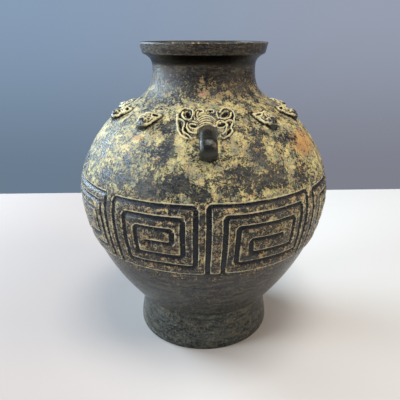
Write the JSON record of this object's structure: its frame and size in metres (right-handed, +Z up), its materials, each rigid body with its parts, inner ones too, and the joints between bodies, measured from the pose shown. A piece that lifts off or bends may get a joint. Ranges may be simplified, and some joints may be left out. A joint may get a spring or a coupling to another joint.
{
  "type": "bronze vase",
  "caption": "Hollow cast bronze jar with a flared foot ring, full belly with a meander band, narrow neck and flat lip, beast masks and loop lugs on the shoulder.",
  "frame": {"origin": "on the ground, under the vase's vertical axis, at the middle of the foot ring", "axes": "+Z up along the vase's axis, -Y towards the front mask lug, +X to the right seen from the front"},
  "size_m": [0.2855, 0.2855, 0.34],
  "materials": {
    "bronze": "dark patinated bronze with yellow ochre crust"
  },
  "bodies": {
    "root": {"vase": "bronze"}
  },
  "joints": []
}
